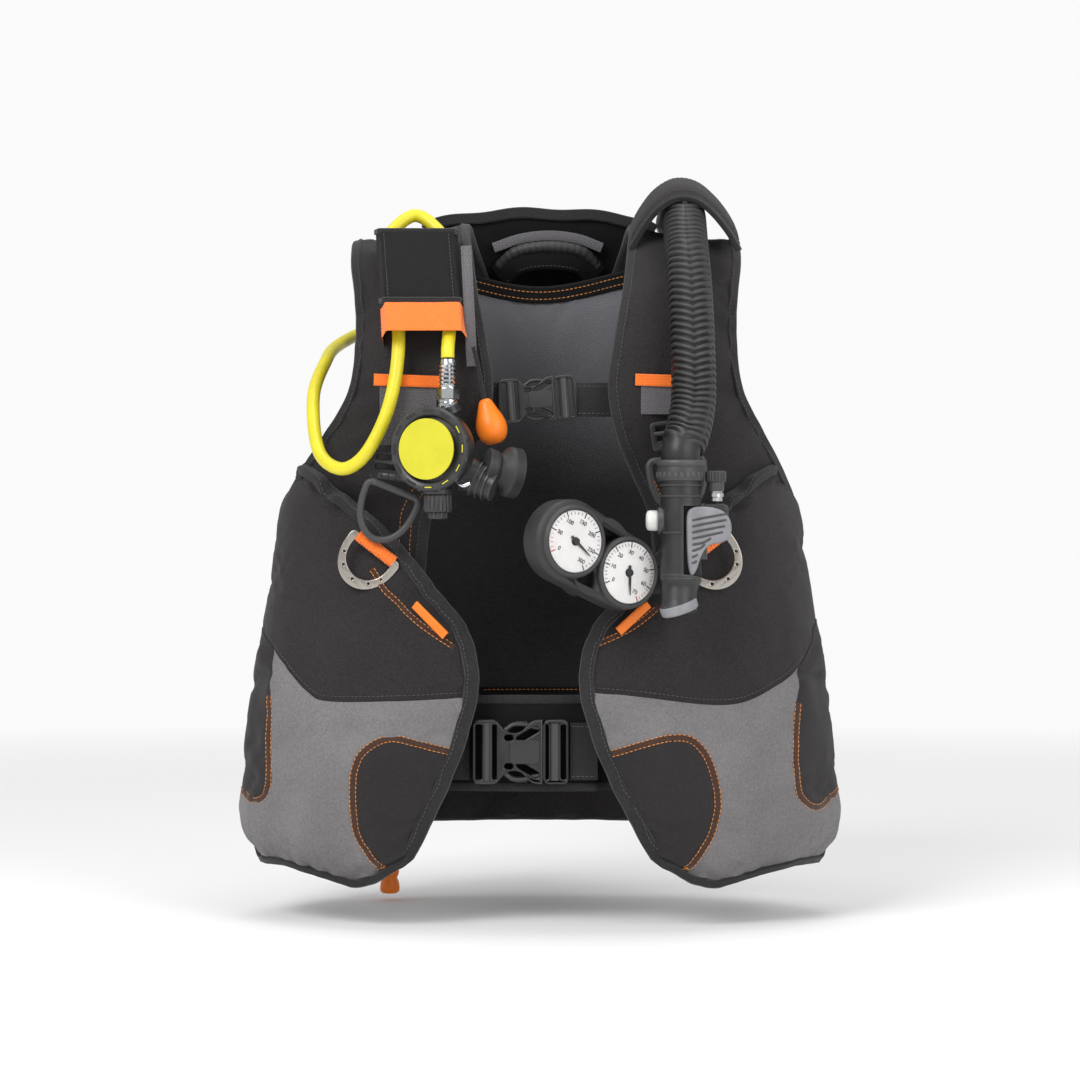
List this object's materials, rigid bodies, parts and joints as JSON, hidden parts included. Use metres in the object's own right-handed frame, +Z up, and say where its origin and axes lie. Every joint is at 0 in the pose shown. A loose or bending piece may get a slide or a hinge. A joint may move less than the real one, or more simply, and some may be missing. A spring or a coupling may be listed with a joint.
{
  "type": "buoyancy compensator vest",
  "caption": "Jacket-style diving vest with inflator hose, octopus regulator, gauge console, waist and chest buckles and a cylinder band.",
  "frame": {"origin": "middle of the flat face of the back plate that bears on the cylinder", "axes": "+Z up towards the collar, +Y away from the wearer's back towards the cylinder, +X towards the wearer's left"},
  "size_m": [0.5176, 0.5718, 0.6345],
  "materials": {
    "nylon": "coarse black woven nylon",
    "grey_nylon": "grey woven nylon",
    "padding": "air mesh over foam",
    "webbing": "ribbed webbing",
    "orange": "orange webbing",
    "orange_rubber": "moulded orange rubber",
    "plastic": "satin moulded black",
    "grey_plastic": "satin moulded grey",
    "white_plastic": "smooth white",
    "rubber": "matt moulded rubber",
    "yellow_rubber": "smooth yellow hose rubber",
    "yellow_plastic": "satin yellow moulding",
    "steel": "polished bent rod",
    "chrome": "plated fitting",
    "dial": "printed dial"
  },
  "bodies": {
    "vest": {"back_bladder": "nylon", "back_pad": "padding", "right_lobe": "nylon", "left_lobe": "nylon", "right_pocket": "grey_nylon", "left_pocket": "grey_nylon", "right_shoulder_yoke": "nylon", "left_shoulder_yoke": "nylon", "collar": "nylon", "carry_handle": "rubber", "back_plate": "plastic", "tank_band": "webbing", "cam_buckle_frame": "plastic", "cummerbund": "nylon", "waist_strap_right": "webbing", "waist_buckle_female": "plastic", "sternum_strap_right": "webbing", "sternum_buckle_female": "plastic", "octo_hose_sleeve": "nylon", "sleeve_retainer_strap": "orange", "octopus_hose": "yellow_rubber", "octopus_hose_fitting": "chrome", "regulator_case": "plastic", "regulator_mouthpiece": "rubber", "shoulder_dump_valve": "plastic", "rear_dump_valve": "plastic", "right_shoulder_strap": "grey_nylon", "left_shoulder_strap": "grey_nylon", "right_shoulder_buckle": "plastic", "left_shoulder_buckle": "plastic", "right_ring_sleeve": "orange", "left_ring_sleeve": "orange", "hose_over_strap": "nylon", "shoulder_hose_run": "rubber", "console_hose": "rubber"},
    "cam_lever": {"cam_lever": "plastic"},
    "waist_male": {"waist_buckle_male": "plastic", "waist_strap_left": "webbing"},
    "sternum_male": {"sternum_buckle_male": "plastic", "sternum_strap_left": "webbing"},
    "purge_cover": {"purge_cover": "yellow_plastic"},
    "adjusting_knob": {"cracking_adjust_knob": "plastic"},
    "shoulder_pull": {"shoulder_dump_pull": "orange_rubber"},
    "rear_pull": {"rear_dump_pull": "orange_rubber"},
    "inflator": {"corrugated_hose": "rubber", "inflator_body": "grey_plastic", "quick_connect_nipple": "chrome"},
    "inflate_lever": {"inflate_lever": "grey_plastic"},
    "deflate_button": {"deflate_button": "white_plastic"},
    "right_steel_ring": {"right_steel_d_ring": "steel"},
    "left_steel_ring": {"left_steel_d_ring": "steel"},
    "right_plastic_ring": {"right_plastic_d_ring": "plastic"},
    "left_plastic_ring": {"left_plastic_d_ring": "plastic"},
    "console": {"console_boot": "rubber", "pressure_gauge": "dial", "depth_gauge": "dial"},
    "pressure_needle": {"pressure_needle": "plastic"},
    "depth_needle": {"depth_needle": "plastic"},
    "right_zip": {"right_zip_pull": "orange"},
    "left_zip": {"left_zip_pull": "orange"}
  },
  "joints": [
    {"name": "cam_lever_turn", "type": "hinge", "parent": "vest", "child": "cam_lever", "pos_m": [-0.018, 0.1972, -0.02], "axis": [0, 0, 1], "range_deg": [0, 120]},
    {"name": "waist_release", "type": "slide", "parent": "vest", "child": "waist_male", "axis": [1, 0, 0], "range_m": [0, 0.022]},
    {"name": "sternum_release", "type": "slide", "parent": "vest", "child": "sternum_male", "axis": [1, 0, 0], "range_m": [0, 0.02]},
    {"name": "purge_press", "type": "slide", "parent": "vest", "child": "purge_cover", "axis": [0.4226, 0.9063, 0], "range_m": [0, 0.003]},
    {"name": "adjust_turn", "type": "hinge", "parent": "vest", "child": "adjusting_knob", "pos_m": [-0.08485, -0.29981, 0.01], "axis": [0, 0, -1], "range_deg": [0, 270]},
    {"name": "shoulder_dump_pull_down", "type": "slide", "parent": "vest", "child": "shoulder_pull", "axis": [0, 0, -1], "range_m": [0, 0.01]},
    {"name": "rear_dump_pull_down", "type": "slide", "parent": "vest", "child": "rear_pull", "axis": [0, 0, -1], "range_m": [0, 0.012]},
    {"name": "inflator_swing", "type": "hinge", "parent": "vest", "child": "inflator", "pos_m": [0.125, -0.213, 0.246], "axis": [-1, 0, 0], "range_deg": [0, 30]},
    {"name": "inflate_press", "type": "slide", "parent": "inflator", "child": "inflate_lever", "axis": [0, 1, 0], "range_m": [0, 0.003]},
    {"name": "deflate_press", "type": "slide", "parent": "inflator", "child": "deflate_button", "axis": [1, 0, 0], "range_m": [0, 0.003]},
    {"name": "right_steel_ring_swing", "type": "hinge", "parent": "vest", "child": "right_steel_ring", "pos_m": [-0.138, -0.2668, -0.025], "axis": [-0.788, 0, 0.6157], "range_deg": [0, 60]},
    {"name": "left_steel_ring_swing", "type": "hinge", "parent": "vest", "child": "left_steel_ring", "pos_m": [0.138, -0.27, -0.025], "axis": [-0.788, 0, -0.6157], "range_deg": [0, 40]},
    {"name": "right_plastic_ring_swing", "type": "hinge", "parent": "vest", "child": "right_plastic_ring", "pos_m": [-0.122, -0.2765, 0.024], "axis": [-0.9272, 0, 0.3746], "range_deg": [0, 60]},
    {"name": "left_plastic_ring_swing", "type": "hinge", "parent": "vest", "child": "left_plastic_ring", "pos_m": [0.114, -0.268, 0.05], "axis": [-0.9962, 0, -0.0872], "range_deg": [0, 18]},
    {"name": "console_swing", "type": "hinge", "parent": "vest", "child": "console", "pos_m": [0.10464, -0.28332, -0.05452], "axis": [-0.5446, 0.8387, 0], "range_deg": [-10, 10]},
    {"name": "pressure_needle_turn", "type": "hinge", "parent": "console", "child": "pressure_needle", "pos_m": [0.02957, -0.35354, -0.01907], "axis": [-0.5446, 0.8387, 0], "range_deg": [0, 200]},
    {"name": "depth_needle_turn", "type": "hinge", "parent": "console", "child": "depth_needle", "pos_m": [0.07404, -0.32466, -0.04493], "axis": [-0.5446, 0.8387, 0], "range_deg": [0, 170]},
    {"name": "right_zip_slide", "type": "slide", "parent": "vest", "child": "right_zip", "axis": [-0.6868, 0.2377, 0.6868], "range_m": [0, 0.03]},
    {"name": "left_zip_slide", "type": "slide", "parent": "vest", "child": "left_zip", "axis": [-0.7298, -0.1285, -0.6714], "range_m": [0, 0.03]}
  ]
}
